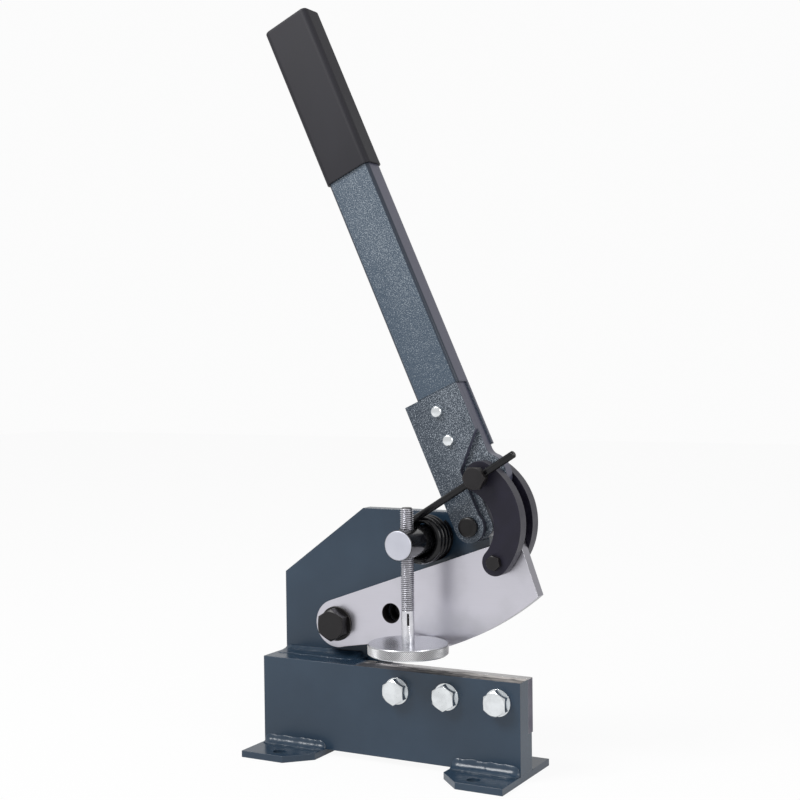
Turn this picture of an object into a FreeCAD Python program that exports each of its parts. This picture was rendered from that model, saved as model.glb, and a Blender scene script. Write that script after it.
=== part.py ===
# Hand lever shear for the bench: a base bar on two feet with a fixed lower blade, an upper
# frame plate behind it, an upper blade that swings on the plate, and a long handle that
# drives the blade through a pair of curved links.
#
# Millimetres. X runs to the right along the base, Y away from the person who pulls the
# handle, Z up. The origin is on the bench, in the middle of the four foot holes.

import FreeCAD, Part
import math
import os
import Sketcher

doc = FreeCAD.newDocument("hand_lever_shear")

# Driving sizes
SIZES = {
    # base
    "base_length": 220,
    "base_top": 72.5,
    "bar_thick": 20.4,
    "foot_thick": 5,
    "foot_width": 55,
    "foot_depth": 84,
    "foot_corner": 18,
    "foot_hole_dia": 10,
    "foot_hole_inset": 27.5,
    "foot_hole_spacing_y": 62,
    # upper frame plate and the spacer that carries it
    "spacer_to_blade": 17,
    "plate_thick": 11,
    "plate_bottom": 28,
    "plate_left_height": 135,
    "plate_over_lever_pin": 8.8,
    "plate_beyond_lever_pin": 9.5,
    "plate_slope_run": 73,
    "plate_nose_height": 39,
    "plate_nose_radius": 8,
    "throat_drop": 0.3,
    "throat_radius": 12,
    # lower blade and its bolts
    "lower_blade_length": 128,
    "lower_blade_height": 40,
    "lower_blade_thick": 8,
    "lower_blade_stand_out": 2,
    "blade_bolt_drop": 15.5,
    "blade_bolt_inset": 17,
    "blade_bolt_pitch": 41.5,
    "blade_bolt_dia": 10,
    "blade_bolt_flats": 17,
    "blade_bolt_head": 6.4,
    "blade_bolt_short": 1,
    "washer_dia": 20,
    "washer_thick": 2,
    # upper blade and its pivot
    "shear_gap": 0.1,
    "blade_thick": 10,
    "plate_gap": 0.5,
    "pivot_from_left": 54,
    "pivot_over_base": 26,
    "pivot_bolt_dia": 14,
    "pivot_bolt_flats": 22,
    "pivot_bolt_head": 9,
    "pivot_washer_dia": 27,
    "pivot_washer_thick": 1.5,
    "pivot_nut_height": 9,
    "blade_rise": 19.8,
    "blade_end_radius": 18.7,
    "blade_reach": 172,
    "blade_tip_drop": 26.9,
    "blade_heel_along": 29,
    "blade_heel_drop": 34.4,
    "blade_step_along": 5.4,
    "blade_shoulder_drop": 23,
    "blade_edge_radius": 234,
    "round_hole_along": 49.7,
    "round_hole_drop": 5.5,
    "round_hole_dia": 15,
    "link_pin_inset": 19.3,
    "link_pin_rise": 6.15,
    "slot_length": 9.7,
    "slot_lean": 17.7,
    "slot_width": 7.4,
    # handle
    "lever_pin_before_link_pin": 23.589,
    "toe_gap": 0.935,
    "lever_lean": 24.2,
    "lever_pin_dia": 10,
    "lever_pin_head_dia": 15,
    "lever_pin_head": 3.5,
    "lever_nut_flats": 17,
    "lever_nut_height": 8,
    "lever_end_radius": 12,
    "lever_plate_top": 101.5,
    "lever_plate_right": 35.5,
    "cheek_thick": 4.6,
    "cheek_notch_top": 64.2,
    "cheek_notch_low": 40.7,
    "cheek_strip_right": 10.9,
    "link_pin_across": 26.4,
    "link_pin_up": 29.4,
    "lobe_radius": 17,
    "lobe_fillet": 8,
    "plate_toe_right": 16.7,
    "plate_toe_radius": 9,
    "rivet_across": 12,
    "rivet_upper": 88,
    "rivet_lower": 64.6,
    "rivet_dia": 6,
    "rivet_head_dia": 9,
    "rivet_head": 3.5,
    "tube_width": 38,
    "tube_depth": 20,
    "tube_wall": 2,
    "tube_corner": 3,
    "tube_left": -1.2,
    "tube_lower_end": 51,
    "tube_upper_end": 418.5,
    "grip_wall": 1.6,
    "grip_length": 136,
    "grip_top_wall": 2.5,
    "grip_edge": 2,
    # links and their pins
    "link_thick": 10,
    "link_side_gap": 1.1,
    "link_upper_radius": 12,
    "link_lower_radius": 10,
    "link_outer_bulge": 26.48,
    "link_inner_bulge": 4.95,
    "link_bolt_dia": 6,
    "link_bolt_flats": 10,
    "link_bolt_head": 4,
    "link_nut_height": 5,
    "eye_bolt_dia": 10,
    "eye_flats": 16,
    "eye_head": 4,
    "eye_collar_dia": 14,
    "eye_collar": 7,
    "eye_hole_dia": 6.5,
    "eye_nut_flats": 17,
    "eye_nut_height": 8,
    # hold-down and return spring
    "hold_bar_before_lever_pin": 37,
    "coil_over_blade": 2.52,
    "hold_bar_dia": 22.6,
    "hold_bar_reach": 57.4,
    "hold_spigot_dia": 16,
    "hold_screw_inset": 14.4,
    "hold_screw_dia": 10,
    "hold_screw_over_bar": 9.8,
    "hold_shank_dia": 9.4,
    "shank_slot_width": 1.6,
    "shank_slot_height": 9,
    "shank_slot_depth": 2,
    "shank_slot_drop": 1.5,
    "hold_thread_over_foot": 24,
    "hold_foot_dia": 60,
    "hold_foot_thick": 8,
    "hold_foot_over_base": 15.5,
    "wire_dia": 5.5,
    "coil_radius": 15.3,
    "coil_pitch": 5.8,
    "coil_turns": 3.8,
    "coil_gap": 0.3,
    "spring_arm_length": 102,
    # clearances and edge breaks
    "running_gap": 0.05,
    "bolt_gap": 0.05,
    "side_gap": 0.1,
    "bolt_end": 2,
    "edge_break": 1,
}

# Places that follow from the driving sizes
PLACES = {
    "half_length": "sizes.base_length / 2",
    "bar_back": "sizes.bar_thick / 2",
    "shear_plane": "places.bar_back + sizes.lower_blade_stand_out",
    "rebate_face": "places.shear_plane - sizes.lower_blade_thick",
    "blade_front": "places.shear_plane + sizes.shear_gap",
    "blade_back": "places.blade_front + sizes.blade_thick",
    "plate_front": "places.blade_back + sizes.plate_gap",
    "plate_back": "places.plate_front + sizes.plate_thick",
    "cheek_front": "places.blade_front - sizes.cheek_thick",
    "front_link_back": "places.blade_front - sizes.link_side_gap",
    "front_link_face": "places.front_link_back - sizes.link_thick",
    "rear_link_face": "places.blade_back + sizes.link_side_gap",
    "rear_link_back": "places.rear_link_face + sizes.link_thick",
    "blade_left": "places.half_length - sizes.lower_blade_length",
    "blade_low": "sizes.base_top - sizes.lower_blade_height",
    "bolt_height": "sizes.base_top - sizes.blade_bolt_drop",
    "bolt_last": "places.half_length - sizes.blade_bolt_inset",
    "pivot_x": "sizes.pivot_from_left - places.half_length",
    "pivot_z": "sizes.base_top + sizes.pivot_over_base",
    # centre of the links' lower pin
    "link_pin_along": "sizes.blade_reach - sizes.link_pin_inset",
    "lower_pin_x": "places.pivot_x + places.link_pin_along * cos(sizes.blade_rise)"
                   " - sizes.link_pin_rise * sin(sizes.blade_rise)",
    "lower_pin_z": "places.pivot_z + places.link_pin_along * sin(sizes.blade_rise)"
                   " + sizes.link_pin_rise * cos(sizes.blade_rise)",
    # handle pivot, just high enough for the toe of the handle plate to clear the upper blade
    "lever_x": "places.lower_pin_x - sizes.lever_pin_before_link_pin",
    "toe_reach": "sqrt((sizes.plate_toe_right - sizes.plate_toe_radius) ^ 2"
                 " + (sizes.lever_end_radius - sizes.plate_toe_radius) ^ 2)"
                 " + sizes.plate_toe_radius",
    "lever_z": "places.pivot_z + (sizes.blade_end_radius + places.toe_reach + sizes.toe_gap"
               " + (places.lever_x - places.pivot_x) * sin(sizes.blade_rise))"
               " / cos(sizes.blade_rise)",
    # hold-down bar, just high enough for the coil to clear the upper blade
    "hold_x": "places.lever_x - sizes.hold_bar_before_lever_pin",
    "hold_z": "places.pivot_z + (sizes.blade_end_radius + sizes.coil_over_blade"
              " + sizes.coil_radius + sizes.wire_dia / 2"
              " + (places.hold_x - places.pivot_x) * sin(sizes.blade_rise))"
              " / cos(sizes.blade_rise)",
    # outline of the upper frame plate and of the spacer behind the bar
    "column_width": "sizes.base_length - sizes.lower_blade_length",
    "spacer_length": "places.column_width - sizes.spacer_to_blade",
    "throat_low": "sizes.base_top - sizes.throat_drop",
    "plate_top": "places.lever_z + sizes.plate_over_lever_pin",
    "plate_reach": "places.half_length + places.lever_x + sizes.plate_beyond_lever_pin",
    # centre of the links' upper pin
    "upper_pin_x": "places.lever_x + sizes.link_pin_across * cos(sizes.lever_lean)"
                   " - sizes.link_pin_up * sin(sizes.lever_lean)",
    "upper_pin_z": "places.lever_z + sizes.link_pin_across * sin(sizes.lever_lean)"
                   " + sizes.link_pin_up * cos(sizes.lever_lean)",
    "link_run": "places.lower_pin_x - places.upper_pin_x",
    "link_drop": "places.upper_pin_z - places.lower_pin_z",
    "link_length": "sqrt(places.link_run ^ 2 + places.link_drop ^ 2)",
    "link_lean": "atan(places.link_run / places.link_drop)",
    # the links' outer and inner arcs: tangent to both round ends and bulging so far beyond
    # the line through the pins
    "end_step": "(sizes.link_upper_radius - sizes.link_lower_radius) / places.link_length",
    "end_half": "(sizes.link_lower_radius ^ 2 - sizes.link_upper_radius ^ 2"
                " - places.link_length ^ 2) / (2 * places.link_length)",
    "outer_part": "places.end_half * places.end_step - sizes.link_outer_bulge"
                  " + sizes.link_upper_radius",
    "outer_rest": "places.end_half ^ 2 - sizes.link_upper_radius ^ 2"
                  " + sizes.link_outer_bulge ^ 2",
    "outer_arc": "places.outer_rest / (sqrt(places.outer_part ^ 2"
                 " - places.end_step ^ 2 * places.outer_rest) - places.outer_part)",
    "inner_part": "-places.end_half * places.end_step - sizes.link_inner_bulge"
                  " - sizes.link_upper_radius",
    "inner_rest": "places.end_half ^ 2 - sizes.link_upper_radius ^ 2"
                  " + sizes.link_inner_bulge ^ 2",
    "inner_arc": "places.inner_rest / (sqrt(places.inner_part ^ 2"
                 " - places.end_step ^ 2 * places.inner_rest) - places.inner_part)",
    "outer_to_upper": "places.outer_arc - sizes.link_upper_radius",
    "outer_to_lower": "places.outer_arc - sizes.link_lower_radius",
    "outer_z": "-(places.link_length ^ 2 + places.outer_to_upper ^ 2 - places.outer_to_lower ^ 2)"
               " / (2 * places.link_length)",
    "outer_x": "-sqrt(places.outer_to_upper ^ 2 - places.outer_z ^ 2)",
    "inner_to_upper": "places.inner_arc + sizes.link_upper_radius",
    "inner_to_lower": "places.inner_arc + sizes.link_lower_radius",
    "inner_z": "-(places.link_length ^ 2 + places.inner_to_upper ^ 2 - places.inner_to_lower ^ 2)"
               " / (2 * places.link_length)",
    "inner_x": "-sqrt(places.inner_to_upper ^ 2 - places.inner_z ^ 2)",
    # hole for round bar, cut through the blade and the plate while the blade stands open
    "round_hole_x": "places.pivot_x + sizes.round_hole_along * cos(sizes.blade_rise)"
                    " + sizes.round_hole_drop * sin(sizes.blade_rise)",
    "round_hole_z": "places.pivot_z + sizes.round_hole_along * sin(sizes.blade_rise)"
                    " - sizes.round_hole_drop * cos(sizes.blade_rise)",
    # ends of the grip, above the handle pivot
    "grip_high": "sizes.tube_upper_end + sizes.grip_top_wall",
    "grip_low": "places.grip_high - sizes.grip_length",
    # hold-down and the spring on its bar
    "hold_bar_face": "places.plate_front - sizes.hold_bar_reach",
    "hold_screw_y": "places.hold_bar_face + sizes.hold_screw_inset",
    "coil_tilt": "atan(sizes.coil_pitch / (4 * sizes.coil_radius))",
    "hold_foot_low": "sizes.base_top + sizes.hold_foot_over_base",
    "thread_low": "places.hold_foot_low + sizes.hold_foot_thick + sizes.hold_thread_over_foot",
    "thread_top": "places.hold_z + sizes.hold_bar_dia / 2 + sizes.hold_screw_over_bar",
    "spring_run": "places.upper_pin_x - places.hold_x",
    "spring_rise": "places.upper_pin_z - places.hold_z",
    "spring_span": "sqrt(places.spring_run ^ 2 + places.spring_rise ^ 2)",
    "spring_lean": "atan(places.spring_rise / places.spring_run)"
                   " - asin(sizes.coil_radius / places.spring_span)",
    "spring_arm_y": "places.plate_front - sizes.coil_gap - sizes.wire_dia / 2"
                    " - sizes.coil_turns * sizes.coil_pitch",
    # where the right edge of the handle plate meets the lobe round the upper pin
    "lobe_toe_z": "sizes.link_pin_up - sqrt(sizes.lobe_radius ^ 2"
                  " - (sizes.link_pin_across - sizes.plate_toe_right) ^ 2)",
    "lobe_top_z": "sizes.link_pin_up + sqrt(sizes.lobe_radius ^ 2"
                  " - (sizes.lever_plate_right - sizes.link_pin_across) ^ 2)",
    "strip_low_z": "sqrt(sizes.lever_end_radius ^ 2 - sizes.cheek_strip_right ^ 2)",
}


def fill_sheet(name, cells, sign=""):
    """A spreadsheet with one named cell for each entry."""
    sheet = doc.addObject("Spreadsheet::Sheet", name)
    for row, (alias, content) in enumerate(cells.items(), start=1):
        sheet.set("A%d" % row, alias)
        sheet.set("B%d" % row, sign + str(content))
        sheet.setAlias("B%d" % row, alias)
    doc.recompute()
    return sheet


sizes = fill_sheet("sizes", SIZES)
places = fill_sheet("places", PLACES, "=")


def number(expression):
    """The present value of an expression on the sheets."""
    result = sizes.evalExpression(expression)
    return float(getattr(result, "Value", result))


def new_body(label, x="0", y="0", z="0", turn="0"):
    """A body named after its piece, set at a place and turned about the Y axis."""
    body = doc.addObject("PartDesign::Body", label)
    body.Label = label
    body.Placement = FreeCAD.Placement(
        FreeCAD.Vector(number(x), number(y), number(z)),
        FreeCAD.Rotation(FreeCAD.Vector(0, 1, 0), number(turn)),
    )
    body.setExpression("Placement.Base.x", x)
    body.setExpression("Placement.Base.y", y)
    body.setExpression("Placement.Base.z", z)
    body.setExpression("Placement.Rotation.Axis.x", "0")
    body.setExpression("Placement.Rotation.Axis.y", "1")
    body.setExpression("Placement.Rotation.Axis.z", "0")
    body.setExpression("Placement.Rotation.Angle", turn)
    return body


def origin_feature(body, role):
    return [item for item in body.Origin.OriginFeatures if item.Role == role][0]


def new_sketch(body, name, plane="XZ_Plane", offset="0"):
    """A sketch on one of the body's own planes, moved along the plane's normal by offset.
    The normal of the XZ plane points to the front."""
    sketch = body.newObject("Sketcher::SketchObject", name)
    sketch.AttachmentSupport = [(origin_feature(body, plane), "")]
    sketch.MapMode = "FlatFace"
    sketch.setExpression("AttachmentOffset.Base.z", offset)
    doc.recompute()
    return sketch


def fix_size(sketch, constraint, expression):
    index = sketch.addConstraint(constraint)
    sketch.setExpression("Constraints[%d]" % index, expression)


def fix_point(sketch, item, point, x, y):
    """Hold one point of a sketch at the place that two expressions give."""
    fix_size(sketch, Sketcher.Constraint("DistanceX", item, point, number(x)), x)
    fix_size(sketch, Sketcher.Constraint("DistanceY", item, point, number(y)), y)


def add_circle(sketch, x, y, diameter):
    centre = FreeCAD.Vector(number(x), number(y), 0)
    half = "(%s) / 2" % diameter
    item = sketch.addGeometry(Part.Circle(centre, FreeCAD.Vector(0, 0, 1), number(half)), False)
    fix_point(sketch, item, 3, x, y)
    fix_size(sketch, Sketcher.Constraint("Radius", item, number(half)), half)


def add_axis(sketch, from_x, from_y, to_x, to_y):
    """A construction line that a revolution can turn about."""
    start = FreeCAD.Vector(number(from_x), number(from_y), 0)
    end = FreeCAD.Vector(number(to_x), number(to_y), 0)
    item = sketch.addGeometry(Part.LineSegment(start, end), True)
    fix_point(sketch, item, 1, from_x, from_y)
    fix_point(sketch, item, 2, to_x, to_y)


def arc_between(start, end, radius, turn):
    """An arc of less than half a turn from start to end that turns left or right."""
    chord = end - start
    left = FreeCAD.Vector(-chord.y, chord.x, 0).normalize()
    depth = math.sqrt(radius ** 2 - (chord.Length / 2) ** 2)
    centre = (start + end) * 0.5 + left * (depth if turn == "left" else -depth)
    first, last = (start, end) if turn == "left" else (end, start)
    from_angle = math.atan2(first.y - centre.y, first.x - centre.x)
    to_angle = math.atan2(last.y - centre.y, last.x - centre.x)
    if to_angle < from_angle:
        to_angle += 2 * math.pi
    circle = Part.Circle(centre, FreeCAD.Vector(0, 0, 1), radius)
    return Part.ArcOfCircle(circle, from_angle, to_angle)


def add_outline(sketch, steps):
    """A closed outline. A step (x, y) is a straight side to that point, and a step
    (x, y, radius, turn) is an arc to it. The first side starts at the last step's point."""
    points = [FreeCAD.Vector(number(step[0]), number(step[1]), 0) for step in steps]
    ends = []
    for index, step in enumerate(steps):
        start = points[index - 1]
        end = points[index]
        if len(step) == 2:
            item = sketch.addGeometry(Part.LineSegment(start, end), False)
            ends.append((item, 1, 2))
            continue
        item = sketch.addGeometry(arc_between(start, end, number(step[2]), step[3]), False)
        ends.append((item, 1, 2) if step[3] == "left" else (item, 2, 1))
        fix_size(sketch, Sketcher.Constraint("Radius", item, number(step[2])), step[2])
    for index, step in enumerate(steps):
        item, first, last = ends[index]
        following, its_first, its_last = ends[(index + 1) % len(steps)]
        sketch.addConstraint(Sketcher.Constraint("Coincident", item, last, following, its_first))
        fix_point(sketch, item, last, step[0], step[1])


def add_box(sketch, left, low, right, high):
    add_outline(sketch, [(left, low), (left, high), (right, high), (right, low)])


def add_rounded_box(sketch, left, low, right, high, radius):
    """A rectangle with round corners."""
    add_outline(sketch, [
        ("%s - %s" % (right, radius), low),
        (right, "%s + %s" % (low, radius), radius, "left"),
        (right, "%s - %s" % (high, radius)),
        ("%s - %s" % (right, radius), high, radius, "left"),
        ("%s + %s" % (left, radius), high),
        (left, "%s - %s" % (high, radius), radius, "left"),
        (left, "%s + %s" % (low, radius)),
        ("%s + %s" % (left, radius), low, radius, "left"),
    ])


def pad(body, sketch, length, against=True):
    """A pad against the sketch plane's normal, or along it."""
    feature = body.newObject("PartDesign::Pad", sketch.Name + "_pad")
    feature.Profile = sketch
    feature.setExpression("Length", length)
    feature.Reversed = against
    doc.recompute()
    return feature


def pocket(body, sketch, length, against=True):
    """A pocket against the sketch plane's normal, or along it, that has to take metal away."""
    before = body.Shape.Volume
    feature = body.newObject("PartDesign::Pocket", sketch.Name + "_pocket")
    feature.Profile = sketch
    feature.setExpression("Length", length)
    feature.Reversed = not against
    doc.recompute()
    if body.Shape.Volume > before - 0.01:
        raise RuntimeError(feature.Name + " cuts nothing")
    return feature


def dress(body, kind, size, test):
    """A fillet or chamfer on every edge that passes the test."""
    base = body.Tip
    names = ["Edge%d" % index for index, edge in enumerate(base.Shape.Edges, start=1) if test(edge)]
    if not names:
        raise RuntimeError("no edges to dress on " + body.Label)
    feature = body.newObject("PartDesign::" + kind, "%s_%s" % (body.Name, kind.lower()))
    feature.Base = (base, names)
    feature.setExpression("Radius" if kind == "Fillet" else "Size", size)
    doc.recompute()
    return feature


def middle_of(edge):
    return edge.valueAt((edge.FirstParameter + edge.LastParameter) / 2)


def corner_test(*spots):
    """True for edges along Y that stand at one of the given X, Z places."""
    wanted = [(number(x), number(z)) for x, z in spots]

    def test(edge):
        if abs(edge.tangentAt(edge.FirstParameter).y) < 0.99:
            return False
        spot = middle_of(edge)
        return any(math.hypot(spot.x - x, spot.z - z) < 0.05 for x, z in wanted)
    return test


def rim_test(axis, place, diameter):
    """True for whole circles round the given axis at one place along it."""
    along = number(place)
    radius = number("(%s) / 2" % diameter)

    def test(edge):
        if not hasattr(edge.Curve, "Radius") or abs(edge.Curve.Radius - radius) > 0.01:
            return False
        return abs(getattr(middle_of(edge), axis) - along) < 0.01
    return test


def add_hexagon(sketch, flats):
    """A hexagon about the middle of the sketch, with a corner at the top."""
    corner = "(%s) / sqrt(3)" % flats
    steps = []
    for angle in range(90, 450, 60):
        steps.append(("%s * cos(%d)" % (corner, angle), "%s * sin(%d)" % (corner, angle)))
    add_outline(sketch, steps)


def turn_corners(body, flats, face, way):
    """Turn the corners of a hexagon down with a 30 degree cone at its outer face. face is its
    place along the body's Y, and way is 1 where the metal lies beyond it, or else -1."""
    sketch = new_sketch(body, body.Name + "_cone", "XY_Plane")
    inner = "(%s) * 0.485" % flats
    outer = "(%s) * 0.65" % flats
    far = "(%s) + %d * (%s) * 0.165 * tan(30)" % (face, way, flats)
    add_outline(sketch, [(inner, face), (outer, face), (outer, far)])
    before = body.Shape.Volume
    groove = body.newObject("PartDesign::Groove", body.Name + "_groove")
    groove.Profile = sketch
    groove.ReferenceAxis = (origin_feature(body, "Y_Axis"), [""])
    groove.Angle = 360
    doc.recompute()
    if body.Shape.Volume > before - 0.01:
        raise RuntimeError(groove.Name + " cuts nothing")


def hex_bolt(label, x, y, z, flats, head, diameter, length, turn="0"):
    """A hex bolt along Y with its head in front. Its place is the seat under the head."""
    body = new_body(label, x, y, z, turn)
    head_sketch = new_sketch(body, label + "_hexagon")
    add_hexagon(head_sketch, flats)
    pad(body, head_sketch, head, against=False)
    shank_sketch = new_sketch(body, label + "_shank")
    add_circle(shank_sketch, "0", "0", diameter)
    pad(body, shank_sketch, length)
    turn_corners(body, flats, "-(%s)" % head, 1)
    return body


def hex_nut(label, x, y, z, flats, height, bore, turn="0"):
    """A hex nut along Y. Its place is its front face, which is its seat."""
    body = new_body(label, x, y, z, turn)
    sketch = new_sketch(body, label + "_hexagon")
    add_hexagon(sketch, flats)
    add_circle(sketch, "0", "0", "%s + 2 * sizes.bolt_gap" % bore)
    pad(body, sketch, height)
    turn_corners(body, flats, height, -1)
    return body


def flat_washer(label, x, y, z, diameter, thick, bore):
    """A flat washer along Y. Its place is its front face."""
    body = new_body(label, x, y, z)
    sketch = new_sketch(body, label + "_ring")
    add_circle(sketch, "0", "0", diameter)
    add_circle(sketch, "0", "0", "%s + 2 * sizes.bolt_gap" % bore)
    pad(body, sketch, thick)
    return body


# Base bar: one thick flat bar on edge, rebated behind for the lower blade
base_bar = new_body("base_bar", y="-places.bar_back")
bar_side = new_sketch(base_bar, "bar_side")
add_box(bar_side, "-places.half_length", "sizes.foot_thick", "places.half_length", "sizes.base_top")
for index in range(3):
    add_circle(bar_side, "places.bolt_last - %d * sizes.blade_bolt_pitch" % index, "places.bolt_height",
               "sizes.blade_bolt_dia + 2 * sizes.bolt_gap")
pad(base_bar, bar_side, "sizes.bar_thick")
bar_rebate = new_sketch(base_bar, "bar_rebate", offset="-sizes.bar_thick")
add_box(bar_rebate, "places.blade_left", "places.blade_low",
        "places.half_length + sizes.edge_break", "sizes.base_top + sizes.edge_break")
pocket(base_bar, bar_rebate, "places.bar_back - places.rebate_face", against=False)


# Feet: two flat plates across the ends of the bar, with their inner corners cut off
def make_foot(label, side):
    body = new_body(label, x="%d * (places.half_length - sizes.foot_width / 2)" % side)
    outer = "%d * sizes.foot_width / 2" % side
    inner = "-%s" % outer if side > 0 else "sizes.foot_width / 2"
    inner_cut = "%s + %d * sizes.foot_corner" % (inner, side)
    front = "-sizes.foot_depth / 2"
    back = "sizes.foot_depth / 2"
    plan = new_sketch(body, label + "_plan", "XY_Plane")
    add_outline(plan, [
        (outer, front),
        (outer, back),
        (inner_cut, back),
        (inner, back + " - sizes.foot_corner"),
        (inner, front + " + sizes.foot_corner"),
        (inner_cut, front),
    ])
    hole_x = "%d * (sizes.foot_width / 2 - sizes.foot_hole_inset)" % side
    add_circle(plan, hole_x, "-sizes.foot_hole_spacing_y / 2", "sizes.foot_hole_dia")
    add_circle(plan, hole_x, "sizes.foot_hole_spacing_y / 2", "sizes.foot_hole_dia")
    pad(body, plan, "sizes.foot_thick", against=False)
    return body


left_foot = make_foot("left_foot", -1)
right_foot = make_foot("right_foot", 1)

# Rear spacer: a block between the bar and the frame plate, welded to both
rear_spacer = new_body("rear_spacer", x="-places.half_length", y="places.bar_back")
spacer_side = new_sketch(rear_spacer, "spacer_side")
add_box(spacer_side, "0", "sizes.plate_bottom", "places.spacer_length", "sizes.base_top")
pad(rear_spacer, spacer_side, "places.plate_front - places.bar_back")

# Upper frame plate: a column at the left and an arm over the throat, flame-cut in one piece
frame_plate = new_body("upper_frame_plate", x="-places.half_length", y="places.plate_front")
plate_side = new_sketch(frame_plate, "plate_side")
nose_low = "places.plate_top - sizes.plate_nose_height"
add_outline(plate_side, [
    ("0", "sizes.plate_bottom"),
    ("places.column_width", "sizes.plate_bottom"),
    ("places.column_width", "places.throat_low"),
    ("places.plate_reach", nose_low),
    ("places.plate_reach", "places.plate_top"),
    ("sizes.plate_slope_run", "places.plate_top"),
    ("0", "sizes.plate_left_height"),
])
add_circle(plate_side, "sizes.pivot_from_left", "places.pivot_z",
           "sizes.pivot_bolt_dia + 2 * sizes.bolt_gap")
add_circle(plate_side, "places.lever_x + places.half_length", "places.lever_z",
           "sizes.lever_pin_dia + 2 * sizes.bolt_gap")
add_circle(plate_side, "places.hold_x + places.half_length", "places.hold_z",
           "sizes.hold_spigot_dia + 2 * sizes.bolt_gap")
add_circle(plate_side, "places.round_hole_x + places.half_length", "places.round_hole_z",
           "sizes.round_hole_dia")
pad(frame_plate, plate_side, "sizes.plate_thick")
dress(frame_plate, "Fillet", "sizes.plate_nose_radius",
      corner_test(("places.plate_reach", nose_low), ("places.plate_reach", "places.plate_top")))
dress(frame_plate, "Fillet", "sizes.throat_radius",
      corner_test(("places.column_width", "places.throat_low")))

# Lower blade: a ground block in the bar's rebate, held by three bolts from the front
lower_blade = new_body("lower_blade", y="places.rebate_face")
lower_side = new_sketch(lower_blade, "lower_blade_side")
add_box(lower_side, "places.blade_left", "places.blade_low", "places.half_length", "sizes.base_top")
for index in range(3):
    add_circle(lower_side, "places.bolt_last - %d * sizes.blade_bolt_pitch" % index, "places.bolt_height",
               "sizes.blade_bolt_dia + 2 * sizes.bolt_gap")
pad(lower_blade, lower_side, "sizes.lower_blade_thick")

for index in range(3):
    bolt_x = "places.bolt_last - %d * sizes.blade_bolt_pitch" % (2 - index)
    seat_y = "-places.bar_back - sizes.washer_thick"
    hex_bolt("lower_blade_bolt_%d" % (index + 1), bolt_x, seat_y, "places.bolt_height",
             "sizes.blade_bolt_flats", "sizes.blade_bolt_head", "sizes.blade_bolt_dia",
             "places.shear_plane + places.bar_back + sizes.washer_thick - sizes.blade_bolt_short")
    flat_washer("lower_blade_washer_%d" % (index + 1), bolt_x, seat_y, "places.bolt_height",
                "sizes.washer_dia", "sizes.washer_thick", "sizes.blade_bolt_dia")

# Upper blade: a ground plate with a bowed cutting edge. Its round end turns on the pivot bolt.
# The links' lower bolt works in a short slot that the links hide.
upper_blade = new_body("upper_blade", "places.pivot_x", "places.blade_front", "places.pivot_z",
                       "-sizes.blade_rise")
blade_side = new_sketch(upper_blade, "upper_blade_side")
end_radius = "sizes.blade_end_radius"
add_outline(blade_side, [
    ("sizes.blade_heel_along - sizes.blade_step_along", "-sizes.blade_shoulder_drop"),
    ("sizes.blade_heel_along", "-sizes.blade_heel_drop"),
    ("sizes.blade_reach", "-sizes.blade_tip_drop", "sizes.blade_edge_radius", "left"),
    ("sizes.blade_reach", end_radius),
    ("0", end_radius),
    ("-" + end_radius, "0", end_radius, "left"),
    ("0", "-" + end_radius, end_radius, "left"),
])
add_circle(blade_side, "0", "0", "sizes.pivot_bolt_dia + 2 * sizes.running_gap")
add_circle(blade_side, "sizes.round_hole_along", "-sizes.round_hole_drop", "sizes.round_hole_dia")
pad(upper_blade, blade_side, "sizes.blade_thick")
link_slot = new_sketch(upper_blade, "link_slot")
half_slot = "sizes.slot_width / 2"
across_x = "sizes.slot_width / 2 * sin(sizes.slot_lean)"
across_z = "sizes.slot_width / 2 * cos(sizes.slot_lean)"
near_x = "places.link_pin_along"
near_z = "sizes.link_pin_rise"
far_x = "places.link_pin_along + sizes.slot_length * cos(sizes.slot_lean)"
far_z = "sizes.link_pin_rise + sizes.slot_length * sin(sizes.slot_lean)"
add_outline(link_slot, [
    ("%s + %s" % (far_x, across_x), "%s - %s" % (far_z, across_z)),
    ("%s + %s" % (far_x, across_z), "%s + %s" % (far_z, across_x), half_slot, "left"),
    ("%s - %s" % (far_x, across_x), "%s + %s" % (far_z, across_z), half_slot, "left"),
    ("%s - %s" % (near_x, across_x), "%s + %s" % (near_z, across_z)),
    ("%s - %s" % (near_x, across_z), "%s - %s" % (near_z, across_x), half_slot, "left"),
    ("%s + %s" % (near_x, across_x), "%s - %s" % (near_z, across_z), half_slot, "left"),
])
pocket(upper_blade, link_slot, "sizes.blade_thick")

# Blade pivot: a big hex bolt with a washer in front of the blade and a nut behind the plate
pivot_seat = "places.blade_front - sizes.side_gap - sizes.pivot_washer_thick"
hex_bolt("blade_pivot_bolt", "places.pivot_x", pivot_seat, "places.pivot_z",
         "sizes.pivot_bolt_flats", "sizes.pivot_bolt_head", "sizes.pivot_bolt_dia",
         "places.plate_back + sizes.pivot_nut_height + sizes.bolt_end - (%s)" % pivot_seat)
flat_washer("blade_pivot_washer", "places.pivot_x", pivot_seat, "places.pivot_z",
            "sizes.pivot_washer_dia", "sizes.pivot_washer_thick", "sizes.pivot_bolt_dia")
hex_nut("blade_pivot_nut", "places.pivot_x", "places.plate_back", "places.pivot_z",
        "sizes.pivot_bolt_flats", "sizes.pivot_nut_height", "sizes.pivot_bolt_dia")

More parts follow.
